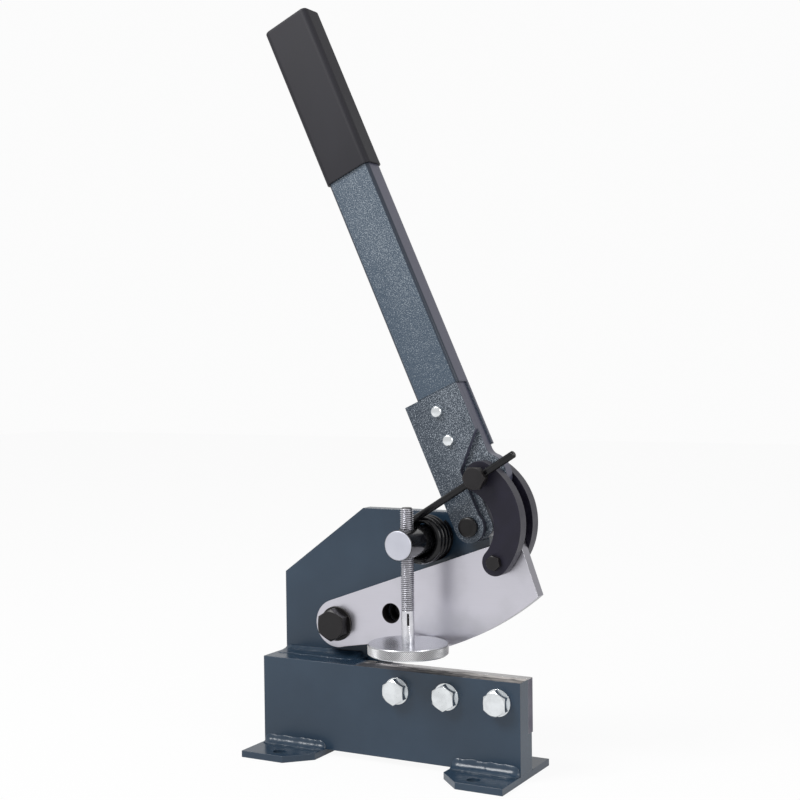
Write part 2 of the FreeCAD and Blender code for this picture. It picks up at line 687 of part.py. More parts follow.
# Handle pivot: a turned pin with a flat round head in front and a nut behind the plate
pin_seat = "places.cheek_front - sizes.side_gap"
lever_pin = new_body("lever_pivot_bolt", "places.lever_x", pin_seat, "places.lever_z")
pin_head = new_sketch(lever_pin, "pin_head")
add_circle(pin_head, "0", "0", "sizes.lever_pin_head_dia")
pad(lever_pin, pin_head, "sizes.lever_pin_head", against=False)
pin_shank = new_sketch(lever_pin, "pin_shank")
add_circle(pin_shank, "0", "0", "sizes.lever_pin_dia")
pad(lever_pin, pin_shank, "places.plate_back + sizes.lever_nut_height + sizes.bolt_end - (%s)" % pin_seat)
dress(lever_pin, "Chamfer", "sizes.edge_break",
      rim_test("y", "-sizes.lever_pin_head", "sizes.lever_pin_head_dia"))
hex_nut("lever_pivot_nut", "places.lever_x", "places.plate_back", "places.lever_z",
        "sizes.lever_nut_flats", "sizes.lever_nut_height", "sizes.lever_pin_dia")

# Handle plate: fills the blade's layer, with a lobe for the links' upper pin
lever_turn = "-sizes.lever_lean"
lever_end = "sizes.lever_end_radius"
lever_plate = new_body("lever_plate", "places.lever_x", "places.blade_front", "places.lever_z",
                       lever_turn)
plate_profile = new_sketch(lever_plate, "lever_plate_side")
add_outline(plate_profile, [
    ("sizes.plate_toe_right - sizes.plate_toe_radius", "-" + lever_end),
    ("sizes.plate_toe_right", "sizes.plate_toe_radius - " + lever_end, "sizes.plate_toe_radius", "left"),
    ("sizes.plate_toe_right", "places.lobe_toe_z"),
    ("sizes.link_pin_across + sizes.lobe_radius", "sizes.link_pin_up", "sizes.lobe_radius", "left"),
    ("sizes.lever_plate_right", "places.lobe_top_z", "sizes.lobe_radius", "left"),
    ("sizes.lever_plate_right", "sizes.lever_plate_top"),
    ("-" + lever_end, "sizes.lever_plate_top"),
    ("-" + lever_end, "0"),
    ("0", "-" + lever_end, lever_end, "left"),
])
add_circle(plate_profile, "0", "0", "sizes.lever_pin_dia + 2 * sizes.running_gap")
add_circle(plate_profile, "sizes.link_pin_across", "sizes.link_pin_up",
           "sizes.eye_bolt_dia + 2 * sizes.running_gap")
for height in ("sizes.rivet_upper", "sizes.rivet_lower"):
    add_circle(plate_profile, "sizes.rivet_across", height, "sizes.rivet_dia + 2 * sizes.bolt_gap")
pad(lever_plate, plate_profile, "sizes.blade_thick")
dress(lever_plate, "Fillet", "sizes.lobe_fillet",
      corner_test(("sizes.lever_plate_right", "places.lobe_top_z")))

# Handle cheek: a thinner plate in front of it, stepped back to let the front link pass
lever_cheek = new_body("lever_cheek", "places.lever_x", "places.cheek_front", "places.lever_z",
                       lever_turn)
cheek_profile = new_sketch(lever_cheek, "lever_cheek_side")
add_outline(cheek_profile, [
    ("sizes.cheek_strip_right", "places.strip_low_z", lever_end, "left"),
    ("sizes.cheek_strip_right", "sizes.cheek_notch_low"),
    ("sizes.lever_plate_right", "sizes.cheek_notch_top"),
    ("sizes.lever_plate_right", "sizes.lever_plate_top"),
    ("-" + lever_end, "sizes.lever_plate_top"),
    ("-" + lever_end, "0"),
    ("0", "-" + lever_end, lever_end, "left"),
])
add_circle(cheek_profile, "0", "0", "sizes.lever_pin_dia + 2 * sizes.running_gap")
for height in ("sizes.rivet_upper", "sizes.rivet_lower"):
    add_circle(cheek_profile, "sizes.rivet_across", height, "sizes.rivet_dia + 2 * sizes.bolt_gap")
pad(lever_cheek, cheek_profile, "sizes.cheek_thick")

# Handle tube: a rectangular tube on top of the two plates, with a channel left behind them
lever_tube = new_body("lever_tube", "places.lever_x", "places.cheek_front", "places.lever_z",
                      lever_turn)
tube_right = "sizes.tube_left + sizes.tube_width"
tube_section = new_sketch(lever_tube, "tube_section", "XY_Plane", "sizes.tube_lower_end")
add_rounded_box(tube_section, "sizes.tube_left", "0", tube_right, "sizes.tube_depth", "sizes.tube_corner")
add_rounded_box(tube_section, "sizes.tube_left + sizes.tube_wall", "sizes.tube_wall",
                tube_right + " - sizes.tube_wall", "sizes.tube_depth - sizes.tube_wall",
                "(sizes.tube_corner - sizes.tube_wall)")
pad(lever_tube, tube_section, "sizes.tube_upper_end - sizes.tube_lower_end", against=False)
tube_notch = new_sketch(lever_tube, "tube_notch", offset="sizes.edge_break")
add_box(tube_notch, "sizes.tube_left - sizes.edge_break", "sizes.tube_lower_end - sizes.edge_break",
        tube_right + " + sizes.edge_break", "sizes.lever_plate_top")
pocket(lever_tube, tube_notch, "sizes.edge_break + sizes.cheek_thick + sizes.blade_thick")
tube_holes = new_sketch(lever_tube, "tube_rivet_holes")
for height in ("sizes.rivet_upper", "sizes.rivet_lower"):
    add_circle(tube_holes, "sizes.rivet_across", height, "sizes.rivet_dia + 2 * sizes.bolt_gap")
pocket(lever_tube, tube_holes, "sizes.tube_depth")


# Handle rivets: through the cheek, the plate and the channel, with a bevelled head in front
def make_rivet(label, height):
    body = new_body(
        label,
        "places.lever_x + sizes.rivet_across * cos(sizes.lever_lean) - %s * sin(sizes.lever_lean)" % height,
        "places.cheek_front",
        "places.lever_z + sizes.rivet_across * sin(sizes.lever_lean)"
        " + %s * cos(sizes.lever_lean)" % height,
        lever_turn,
    )
    head = new_sketch(body, label + "_head")
    add_circle(head, "0", "0", "sizes.rivet_head_dia")
    pad(body, head, "sizes.rivet_head", against=False)
    shank = new_sketch(body, label + "_shank")
    add_circle(shank, "0", "0", "sizes.rivet_dia")
    pad(body, shank, "sizes.tube_depth")
    dress(body, "Chamfer", "sizes.edge_break", rim_test("y", "-sizes.rivet_head", "sizes.rivet_head_dia"))
    return body


make_rivet("lever_rivet_upper", "sizes.rivet_upper")
make_rivet("lever_rivet_lower", "sizes.rivet_lower")

# Grip: a close sleeve over the end of the tube, shut at the top
grip = new_body("grip", "places.lever_x", "places.cheek_front", "places.lever_z", lever_turn)
grip_out = "(sizes.grip_wall + sizes.running_gap)"
grip_section = new_sketch(grip, "grip_section", "XY_Plane", "places.grip_low")
add_rounded_box(grip_section, "sizes.tube_left - " + grip_out, "-" + grip_out,
                tube_right + " + " + grip_out, "sizes.tube_depth + " + grip_out,
                "(sizes.tube_corner + %s)" % grip_out)
pad(grip, grip_section, "places.grip_high - places.grip_low", against=False)
grip_inside = new_sketch(grip, "grip_inside", "XY_Plane", "places.grip_low")
add_rounded_box(grip_inside, "sizes.tube_left - sizes.running_gap", "-sizes.running_gap",
                tube_right + " + sizes.running_gap", "sizes.tube_depth + sizes.running_gap",
                "(sizes.tube_corner + sizes.running_gap)")
pocket(grip, grip_inside, "sizes.tube_upper_end - places.grip_low", against=False)
grip_top = number("places.grip_high")
dress(grip, "Fillet", "sizes.grip_edge", lambda edge: abs(middle_of(edge).z - grip_top) < 0.01)


# Links: a pair of bowed flat links, one each side of the blade and the handle plate
def make_link(label, y):
    body = new_body(label, "places.upper_pin_x", y, "places.upper_pin_z", "-places.link_lean")
    upper = "sizes.link_upper_radius"
    lower = "sizes.link_lower_radius"
    side = new_sketch(body, label + "_side")
    add_outline(side, [
        ("-0.8 * " + lower, "-places.link_length - 0.6 * " + lower, lower, "left"),
        ("-places.outer_x * %s / places.outer_to_lower" % lower,
         "-places.link_length - (places.link_length + places.outer_z) * %s / places.outer_to_lower" % lower,
         lower, "left"),
        ("-places.outer_x * %s / places.outer_to_upper" % upper,
         "-places.outer_z * %s / places.outer_to_upper" % upper,
         "places.outer_arc", "left"),
        ("-0.6 * " + upper, "0.8 * " + upper, upper, "left"),
        ("places.inner_x * %s / places.inner_to_upper" % upper,
         "places.inner_z * %s / places.inner_to_upper" % upper,
         upper, "left"),
        ("places.inner_x * %s / places.inner_to_lower" % lower,
         "-places.link_length + (places.inner_z + places.link_length) * %s / places.inner_to_lower" % lower,
         "places.inner_arc", "right"),
    ])
    add_circle(side, "0", "0", "sizes.eye_bolt_dia + 2 * sizes.running_gap")
    add_circle(side, "0", "-places.link_length", "sizes.link_bolt_dia + 2 * sizes.bolt_gap")
    pad(body, side, "sizes.link_thick")
    return body


make_link("front_link", "places.front_link_face")
make_link("rear_link", "places.rear_link_face")
hex_bolt("link_bolt", "places.lower_pin_x", "places.front_link_face", "places.lower_pin_z",
         "sizes.link_bolt_flats", "sizes.link_bolt_head", "sizes.link_bolt_dia",
         "places.rear_link_back - places.front_link_face + sizes.link_nut_height + sizes.edge_break",
         "-places.link_lean")
hex_nut("link_nut", "places.lower_pin_x", "places.rear_link_back", "places.lower_pin_z",
        "sizes.link_bolt_flats", "sizes.link_nut_height", "sizes.link_bolt_dia", "-places.link_lean")

# Eye bolt: the links' upper pin. The spring's arm slides through the hole in its collar.
eye_seat = "places.front_link_face - sizes.side_gap"
eye_nut_seat = "places.rear_link_back + sizes.side_gap"
eye_bolt = new_body("eye_bolt", "places.upper_pin_x", eye_seat, "places.upper_pin_z", "-places.spring_lean")
eye_collar = new_sketch(eye_bolt, "eye_collar")
add_circle(eye_collar, "0", "0", "sizes.eye_collar_dia")
pad(eye_bolt, eye_collar, "sizes.eye_collar", against=False)
eye_head = new_sketch(eye_bolt, "eye_head", offset="sizes.eye_collar")
add_hexagon(eye_head, "sizes.eye_flats")
pad(eye_bolt, eye_head, "sizes.eye_head", against=False)
eye_shank = new_sketch(eye_bolt, "eye_shank")
add_circle(eye_shank, "0", "0", "sizes.eye_bolt_dia")
pad(eye_bolt, eye_shank, "%s + sizes.eye_nut_height + sizes.bolt_end - (%s)" % (eye_nut_seat, eye_seat))
eye_hole = new_sketch(eye_bolt, "eye_hole", "YZ_Plane", "-sizes.eye_flats")
add_circle(eye_hole, "places.spring_arm_y - (%s)" % eye_seat, "0", "sizes.eye_hole_dia")
pocket(eye_bolt, eye_hole, "2 * sizes.eye_flats", against=False)
turn_corners(eye_bolt, "sizes.eye_flats", "-(sizes.eye_collar + sizes.eye_head)", 1)
hex_nut("eye_bolt_nut", "places.upper_pin_x", eye_nut_seat, "places.upper_pin_z",
        "sizes.eye_nut_flats", "sizes.eye_nut_height", "sizes.eye_bolt_dia", "-places.spring_lean")

# Hold-down bar: a round bar that stands out to the front from the frame plate
hold_bar = new_body("hold_down_bar", "places.hold_x", "places.hold_bar_face", "places.hold_z")
bar_round = new_sketch(hold_bar, "bar_round")
add_circle(bar_round, "0", "0", "sizes.hold_bar_dia")
pad(hold_bar, bar_round, "sizes.hold_bar_reach")
bar_spigot = new_sketch(hold_bar, "bar_spigot")
add_circle(bar_spigot, "0", "0", "sizes.hold_spigot_dia")
pad(hold_bar, bar_spigot, "sizes.hold_bar_reach + sizes.plate_thick")
dress(hold_bar, "Chamfer", "sizes.edge_break", rim_test("y", "0", "sizes.hold_bar_dia"))
screw_hole = new_sketch(hold_bar, "screw_hole", "XY_Plane", "sizes.hold_bar_dia")
add_circle(screw_hole, "0", "sizes.hold_screw_inset", "sizes.hold_screw_dia + 2 * sizes.running_gap")
pocket(hold_bar, screw_hole, "2 * sizes.hold_bar_dia")

# Hold-down screw: threaded through the bar, with a plain end that carries the foot and has a
# short slot in front
hold_screw = new_body("hold_down_screw", "places.hold_x", "places.hold_screw_y", "places.thread_low")
thread_section = new_sketch(hold_screw, "thread_section", "XY_Plane")
add_circle(thread_section, "0", "0", "sizes.hold_screw_dia")
pad(hold_screw, thread_section, "places.thread_top - places.thread_low", against=False)
shank_section = new_sketch(hold_screw, "shank_section", "XY_Plane")
add_circle(shank_section, "0", "0", "sizes.hold_shank_dia")
pad(hold_screw, shank_section, "places.thread_low - places.hold_foot_low - sizes.edge_break")
dress(hold_screw, "Chamfer", "sizes.edge_break",
      rim_test("z", "places.thread_top - places.thread_low", "sizes.hold_screw_dia"))
shank_slot = new_sketch(hold_screw, "shank_slot", offset="sizes.hold_shank_dia / 2")
add_box(shank_slot, "-sizes.shank_slot_width / 2", "-sizes.shank_slot_drop - sizes.shank_slot_height",
        "sizes.shank_slot_width / 2", "-sizes.shank_slot_drop")
pocket(hold_screw, shank_slot, "sizes.shank_slot_depth")

# Hold-down foot: a round pad under the screw
hold_foot = new_body("hold_down_foot", "places.hold_x", "places.hold_screw_y", "places.hold_foot_low")
foot_section = new_sketch(hold_foot, "foot_section", "XY_Plane")
add_circle(foot_section, "0", "0", "sizes.hold_foot_dia")
add_circle(foot_section, "0", "0", "sizes.hold_shank_dia + 2 * sizes.bolt_gap")
pad(hold_foot, foot_section, "sizes.hold_foot_thick", against=False)

# Return spring: coiled round the hold-down bar, with a long straight arm through the eye. Each
# half turn of the coil lies in a plane of its own, and these planes lean to and fro by turns.
# Twelve flat sides stand for the round wire, and they run on from one half turn to the next.
def add_wire(sketch, x, y, turn):
    steps = []
    for angle in range(15, 375, 30):
        steps.append((
            "%s + sizes.wire_dia / 2 * cos(%d deg + %s)" % (x, angle, turn),
            "%s + sizes.wire_dia / 2 * sin(%d deg + %s)" % (y, angle, turn),
        ))
    add_outline(sketch, steps)


spring = new_body("return_spring", "places.hold_x", "0", "places.hold_z", "-places.spring_lean")
arm_section = new_sketch(spring, "arm_section", "YZ_Plane")
add_wire(arm_section, "places.spring_arm_y", "sizes.coil_radius", "0 deg")
pad(spring, arm_section, "sizes.spring_arm_length", against=False)
last_half = math.ceil(number("2 * sizes.coil_turns")) - 1
for index in range(last_half + 1):
    side = 1 if index % 2 == 0 else -1
    start_y = "places.spring_arm_y + %d * sizes.coil_pitch" % (index // 2)
    if side < 0:
        start_y += " + sizes.coil_pitch / 2"
    middle_y = start_y + " + sizes.coil_pitch / 4"
    half_turn = new_sketch(spring, "half_turn_%d" % (index + 1), "YZ_Plane")
    add_wire(half_turn, start_y, "%d * sizes.coil_radius" % side,
             "%d * places.coil_tilt" % (-2 * side * index))
    add_axis(half_turn, middle_y + " - sizes.coil_radius / 2", "%d * sizes.coil_pitch / 8" % -side,
             middle_y + " + sizes.coil_radius / 2", "%d * sizes.coil_pitch / 8" % side)
    ring = spring.newObject("PartDesign::Revolution", half_turn.Name + "_ring")
    ring.Profile = half_turn
    ring.ReferenceAxis = (half_turn, ["Axis0"])
    ring.setExpression("Angle", "180" if index < last_half else "180 * (2 * sizes.coil_turns - %d)" % index)
    ring.Reversed = True
    doc.recompute()

# Checks on every object, then one STEP file for each piece
doc.recompute()
for item in doc.Objects:
    if "Invalid" in item.State or "Error" in item.State:
        raise RuntimeError("%s failed: %s" % (item.Label, item.State))
pieces = [item for item in doc.Objects if item.TypeId == "PartDesign::Body"]
for piece in pieces:
    if piece.Shape.isNull() or not piece.Shape.isValid() or len(piece.Shape.Solids) != 1:
        raise RuntimeError(piece.Label + " is not one valid solid")

os.makedirs("parts", exist_ok=True)
for piece in pieces:
    piece.Shape.exportStep("parts/%s.step" % piece.Label)
    print("%-22s %9.1f mm3" % (piece.Label, piece.Shape.Volume))
print("%d pieces" % len(pieces))
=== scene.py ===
# Hand lever shear for the bench, dressed in paint, black oxide, ground steel and zinc.
# Everything is in metres, on the frame's own axes: X right, Y away from the operator, Z up.

import math

import bmesh
import bpy
from mathutils import Matrix, Vector, noise


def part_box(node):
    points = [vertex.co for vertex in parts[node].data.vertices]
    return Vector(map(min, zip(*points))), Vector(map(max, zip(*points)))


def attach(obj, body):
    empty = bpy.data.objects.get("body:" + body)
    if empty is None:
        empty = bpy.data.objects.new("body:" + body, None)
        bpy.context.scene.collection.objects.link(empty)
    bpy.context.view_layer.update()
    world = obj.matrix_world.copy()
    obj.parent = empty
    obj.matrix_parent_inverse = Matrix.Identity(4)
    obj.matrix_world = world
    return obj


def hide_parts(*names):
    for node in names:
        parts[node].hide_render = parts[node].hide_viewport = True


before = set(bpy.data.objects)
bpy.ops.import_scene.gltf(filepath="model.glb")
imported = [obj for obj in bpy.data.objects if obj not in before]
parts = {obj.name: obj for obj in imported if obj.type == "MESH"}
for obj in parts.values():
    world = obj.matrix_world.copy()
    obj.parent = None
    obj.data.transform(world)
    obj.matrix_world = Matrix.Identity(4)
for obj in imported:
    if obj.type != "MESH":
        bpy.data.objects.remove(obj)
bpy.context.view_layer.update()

# Base bar
# A thick flat steel bar set on edge, with a rebate milled behind for the lower blade. It is
# sprayed with a smooth, glossy dark slate blue that thins a little over its sharp edges.


class Shade:
    """One socket in a material. Its operators add Math nodes, and node() adds any other."""

    def __init__(self, tree, socket=None):
        self.tree = tree
        self.socket = socket

    def node(self, kind, settings, values, output=0):
        """A new node with its settings made and its sockets filled or linked."""
        made = self.tree.nodes.new("ShaderNode" + kind)
        for name, setting in settings.items():
            setattr(made, name, setting)
        for name, value in values.items():
            if isinstance(value, Shade):
                self.tree.links.new(value.socket, made.inputs[name])
            else:
                made.inputs[name].default_value = value
        return Shade(self.tree, made.outputs[output])

    def math(self, operation, first, second):
        return self.node("Math", {"operation": operation}, {0: first, 1: second})

    def __add__(self, other):
        return self.math("ADD", self, other)

    def __radd__(self, other):
        return self.math("ADD", other, self)

    def __sub__(self, other):
        return self.math("SUBTRACT", self, other)

    def __rsub__(self, other):
        return self.math("SUBTRACT", other, self)

    def __mul__(self, other):
        return self.math("MULTIPLY", self, other)

    def __rmul__(self, other):
        return self.math("MULTIPLY", other, self)

    def noise(self, scale, detail=2.0, stretch=(1, 1, 1)):
        """Soft noise from 0 to 1, with scale waves to the metre."""
        place = self.node("Mapping", {}, {"Vector": self, "Scale": stretch})
        return self.node("TexNoise", {}, {"Vector": place, "Scale": scale, "Detail": detail}, "Fac")

    def axis(self, name):
        """The X, Y or Z of a place or a direction."""
        return self.node("SeparateXYZ", {}, {"Vector": self}, name)

    def between(self, low, high):
        """0 below low and 1 above high, with a smooth step from one to the other."""
        return self.node("MapRange", {"interpolation_type": "SMOOTHSTEP"},
                         {"Value": self, "From Min": low, "From Max": high})

    def blend(self, first, second):
        """The first colour where this is 0, and the second where it is 1."""
        first = (*first, 1) if isinstance(first, tuple) else first
        second = (*second, 1) if isinstance(second, tuple) else second
        return self.node("Mix", {"data_type": "RGBA"}, {0: self, 6: first, 7: second}, 2)


def start_finish(name):
    """A new material, and the Object coordinates to draw its patterns on."""
    finish = bpy.data.materials.new(name)
    finish.use_nodes = True
    place = Shade(finish.node_tree).node("TexCoord", {}, {}, "Object")
    return finish, place


def end_finish(finish, varying, **fixed):
    """Link what varies over the surface to the shader, and set what is the same all over it."""
    shader = finish.node_tree.nodes["Principled BSDF"]
    for name, shade in varying.items():
        finish.node_tree.links.new(shade.socket, shader.inputs[name])
    for name, value in fixed.items():
        shader.inputs[name.replace("_", " ")].default_value = value
    return finish


def worn_edges(place, radius):
    """The surface's direction with its edges rounded, and a mask of 1 on those edges."""
    rounded = place.node("Bevel", {"samples": 6}, {"Radius": radius})
    plain = place.node("NewGeometry", {}, {}, "Normal")
    match = place.node("VectorMath", {"operation": "DOT_PRODUCT"}, {0: rounded, 1: plain}, "Value")
    return rounded, (1.0 - match).between(0.01, 0.16)


def facing(place):
    """1 on a face that looks straight forwards or back, down to 0 on one that is square to it."""
    across = place.node("NewGeometry", {}, {}, "Normal").axis("Y")
    return across.math("ABSOLUTE", across, 0)


def flat_sides(place):
    """1 on faces that look forwards or back, and 0 on the edges that are cut across them."""
    return facing(place).between(0.6, 0.9)


def coat(finish, *names):
    """Give pieces of the CAD model their finish."""
    for name in names:
        parts[name].data.materials.clear()
        parts[name].data.materials.append(finish)


BAR_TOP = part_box("base_bar")[1].z
slate, place = start_finish("slate_paint")
edges, edge_mask = worn_edges(place, 0.0006)
cloud = place.noise(14.0, 3.0).between(0.35, 0.65)
peel = place.noise(420.0, 1.5)
colour = cloud.blend((0.0165, 0.036, 0.063), (0.022, 0.045, 0.076))
# In front of the lower blade the bar's top is rubbed bare, most of all towards its right end.
# Towards its left end the strip is painted dark, and a dark line runs along its front: both are
# a painted reflection of the dark pad and blade above.
rubbed = place.axis("Z").between(BAR_TOP - 0.0003, BAR_TOP - 0.0001)
rubbed = rubbed * place.axis("X").between(-0.030, -0.024)
rubbed = rubbed * (1.0 - place.axis("Z").between(BAR_TOP, BAR_TOP + 0.0002))
scuffs_and_painted_reflection = place.noise(700.0, 3.0, (0.15, 1, 1)) + place.axis("X") * 2.2 + place.axis("Y") * 14.0
scuffs_and_painted_reflection = scuffs_and_painted_reflection.between(0.46, 0.70)
wiped = place.axis("Y").between(-0.0032, -0.0012)
painted_reflection_line = place.axis("Y").between(-0.0052, -0.0038) - wiped
bare = wiped.blend((0.31, 0.285, 0.27), (0.50, 0.475, 0.455))
bare = (painted_reflection_line * 0.7).blend(bare, (0.03, 0.03, 0.034))
colour = rubbed.blend(colour, scuffs_and_painted_reflection.blend((0.012, 0.014, 0.018), bare))
end_finish(
    slate,
    {
        "Base Color": (edge_mask * 0.55).blend(colour, (0.13, 0.15, 0.18)),
        "Roughness": 0.2 + 0.1 * place.noise(60.0, 3.0) + 0.4 * rubbed,
        "Normal": place.node("Bump", {}, {"Strength": 0.10, "Distance": 0.0004,
                                          "Height": peel, "Normal": edges}),
    },
)
coat(slate, "base_bar")

# Feet
# Two flat steel plates with cropped corners, each with two bolt holes. Fillet welds along the
# bar hold them, and the same slate paint covers plate and weld.
coat(slate, "left_foot", "right_foot")


def finished(name, shape, finish, body):
    """Make an object of a finished bmesh and let it ride on its body."""
    bmesh.ops.recalc_face_normals(shape, faces=shape.faces)
    mesh = bpy.data.meshes.new(name)
    shape.to_mesh(mesh)
    shape.free()
    mesh.materials.append(finish)
    mesh.shade_smooth()
    mesh.set_sharp_from_angle(angle=math.radians(32))
    piece = bpy.data.objects.new(name, mesh)
    bpy.context.scene.collection.objects.link(piece)
    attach(piece, body)
    return piece


BEAD_OUTLINE = ((1.0, -0.06), (1.0, 0.08), (0.93, 0.14), (0.66, 0.2), (0.42, 0.32),
                (0.26, 0.52), (0.16, 0.76), (0.1, 1.0), (-0.1, 1.04), (-0.1, -0.06))
BEAD_END = 0.35
BEAD_ROUNDING = 0.9
BEAD_LUMPS, LUMPS_TO_THE_METRE = 0.12, 110
BEAD_RIPPLE, RIPPLES_TO_THE_METRE = 0.06, 420


def lay_bead(name, start, end, up, out, steps):
    """A fillet weld along a corner from start to end. It reaches up one wall and out over the
    other, both a little uneven, with a lip along its top, and dies away at its two ends."""
    start, end, up, out = Vector(start), Vector(end), Vector(up), Vector(out)
    bead = bmesh.new()
    ring = [bead.verts.new(start + up * rise + out * reach) for rise, reach in BEAD_OUTLINE]
    for first, second in zip(ring, ring[1:] + ring[:1]):
        bead.edges.new((first, second))
    bmesh.ops.spin(bead, geom=bead.verts[:] + bead.edges[:], angle=0, steps=steps, axis=(1, 0, 0),
                   cent=start, dvec=(end - start) / steps)
    bmesh.ops.holes_fill(bead, edges=bead.edges, sides=0)
    run = end - start
    for vert in bead.verts:
        along = (vert.co - start).dot(run) / run.length_squared
        foot = start + run * along
        inside = max(0, min(along, 1 - along)) * run.length / (BEAD_ROUNDING * up.length)
        swell = BEAD_END + (1 - BEAD_END) * math.sqrt(1 - (1 - min(inside, 1)) ** 2)
        lumps = BEAD_LUMPS * noise.noise(vert.co * LUMPS_TO_THE_METRE)
        swell *= 1 + lumps + BEAD_RIPPLE * noise.noise(vert.co * RIPPLES_TO_THE_METRE)
        vert.co = foot + (vert.co - foot) * swell
    return finished(name, bead, slate, "frame")


BAR_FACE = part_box("base_bar")[0].y
BAR_BACK = -BAR_FACE
FOOT_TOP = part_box("left_foot")[1].z
WELD_END = 0.1095
for name, wall, left, right, up, out in (
    ("left_foot_weld", BAR_FACE, -WELD_END, -0.0535, 0.0064, -0.0064),
    ("right_foot_weld", BAR_FACE, 0.0545, WELD_END, 0.0076, -0.0068),
    ("left_foot_weld_behind", BAR_BACK, -WELD_END, -0.0555, 0.006, 0.006),
    ("right_foot_weld_behind", BAR_BACK, 0.0555, WELD_END, 0.006, 0.006),
):
    lay_bead(name, (left, wall, FOOT_TOP), (right, wall, FOOT_TOP), (0, 0, up), (0, out, 0), 60)

# Frame plate
# The plate behind the bar carries both pivots and the hold-down. It is flame-cut from 11 mm
# steel, welded to a spacer block on the bar, and painted with them.
coat(slate, "rear_spacer", "upper_frame_plate")
PLATE_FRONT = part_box("upper_frame_plate")[0].y
PLATE_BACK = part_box("upper_frame_plate")[1].y
lay_bead("plate_weld", (-WELD_END, PLATE_FRONT, BAR_TOP), (-0.0385, PLATE_FRONT, BAR_TOP),
         (0, 0, 0.0036), (0, -0.0162, 0), 80)

# Cap behind the round hole
# The blade's round hole is for shearing round bar against the plate. A blackened cap pressed
# into the plate closes the way behind it: a dark piece put there as painted shade for the dark
# inside the hole.


def turned_piece(shape, centre, profile, steps=48):
    """Turn an outline of (radius, depth) pairs round a line along Y through centre. Its two
    ends lie on that line, so that the shape is closed."""
    line = [shape.verts.new((radius, depth, 0)) for radius, depth in profile]
    for first, second in zip(line, line[1:]):
        shape.edges.new((first, second))
    bmesh.ops.spin(shape, geom=shape.verts[:] + shape.edges[:], angle=2 * math.pi, steps=steps,
                   axis=(0, 1, 0), cent=(0, 0, 0), use_merge=True)
    bmesh.ops.remove_doubles(shape, verts=shape.verts, dist=0.000001)
    bmesh.ops.translate(shape, verts=shape.verts, vec=(centre[0], 0, centre[1]))


BAR_HOLE = (-0.007375, 0, 0.11016)
cap = bmesh.new()
turned_piece(cap, (BAR_HOLE[0], BAR_HOLE[2]), (
    (0, PLATE_BACK - 0.0004), (0.0070, PLATE_BACK - 0.0004), (0.00745, PLATE_BACK - 0.0008),
    (0.00745, PLATE_FRONT + 0.0004), (0.0068, PLATE_FRONT + 0.0004), (0.0062, PLATE_FRONT + 0.0010),
    (0.0062, PLATE_BACK - 0.0030), (0, PLATE_BACK - 0.0024)))
hole_shade_black, place = start_finish("hole_shade_black")
oil = place.noise(300.0, 3.0).between(0.35, 0.65)
end_finish(hole_shade_black, {"Base Color": oil.blend((0.004, 0.003, 0.004), (0.012, 0.010, 0.011)),
                       "Roughness": 0.4 + 0.2 * oil}, Metallic=0.2)
finished("round_hole_cap", cap, hole_shade_black, "frame")

# Lower blade
# A rectangular block of hardened tool steel in the bar's rebate. Its sides keep their dark skin,
# its top is surface-ground from end to end, and its back edge does the cutting.
LOWER_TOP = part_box("lower_blade")[1].z
lower_steel, place = start_finish("lower_blade_steel")
edges, edge_mask = worn_edges(place, 0.0004)
ground = place.axis("Z").between(LOWER_TOP - 0.0006, LOWER_TOP - 0.0002)
lines = place.noise(900.0, 3.0, (0.02, 1, 1)).between(0.42, 0.7)
stain = place.noise(60.0, 4.0, (0.35, 1, 1)).between(0.45, 0.62)
bare = (stain * 0.8).blend((0.56, 0.55, 0.55), (0.20, 0.17, 0.155))
bare = (lines * 0.45).blend(bare, (0.13, 0.115, 0.11))
skin = place.noise(30.0, 3.0).between(0.35, 0.65)
skin = skin.blend((0.070, 0.067, 0.098), (0.095, 0.091, 0.125))
colour = ground.blend(skin, bare)
end_finish(
    lower_steel,
    {
        "Base Color": (edge_mask * 0.5).blend(colour, (0.62, 0.61, 0.62)),
        "Roughness": 0.42 + 0.12 * stain - 0.16 * ground,
        "Metallic": 0.25 + 0.75 * ground,
        "Normal": place.node("Bump", {}, {"Strength": 0.2, "Distance": 0.00005,
                                          "Height": lines, "Normal": edges}),
    },
)
coat(lower_steel, "lower_blade")

# Lower blade bolts
# Three zinc-plated hex bolts with plain washers, screwed in from the front of the bar. The
# plating is bright, with faint tool marks on the flats.


def plated(name, tint, shine):
    """Bright zinc plate, clouded a little and rubbed to a lighter shine on its edges."""
    finish, place = start_finish(name)
    edges, edge_mask = worn_edges(place, 0.0003)
    cloud = place.noise(130.0, 4.0).between(0.3, 0.7)
    colour = cloud.blend(tint, tuple(0.86 * share for share in tint))
    return end_finish(
        finish,
        {
            "Base Color": (edge_mask * 0.3).blend(colour, (0.95, 0.96, 0.97)),
            "Roughness": shine + 0.14 * cloud,
            "Normal": place.node("Bump", {}, {"Strength": 0.2, "Distance": 0.0001,
                                              "Height": place.noise(700.0, 3.0), "Normal": edges}),
        },
        Metallic=1.0,
    )


zinc = plated("zinc_plate", (0.80, 0.83, 0.85), 0.16)
for number in (1, 2, 3):
    coat(zinc, "lower_blade_bolt_%d" % number, "lower_blade_washer_%d" % number)

# Upper blade
# A 10 mm tool steel plate with a bowed cutting edge, ground flat on both sides. It turns on
# its round end, and oil has left faint clouds on it.


def from_line(place, point, across):
    """How far a place is from a straight line through a point. across is 1 on the two axes
    that cross the line and 0 on the line's own."""
    offset = place.node("VectorMath", {"operation": "SUBTRACT"}, {0: place, 1: point})
    offset = place.node("VectorMath", {"operation": "MULTIPLY"}, {0: offset, 1: across})
    return place.node("VectorMath", {"operation": "LENGTH"}, {0: offset}, "Value")


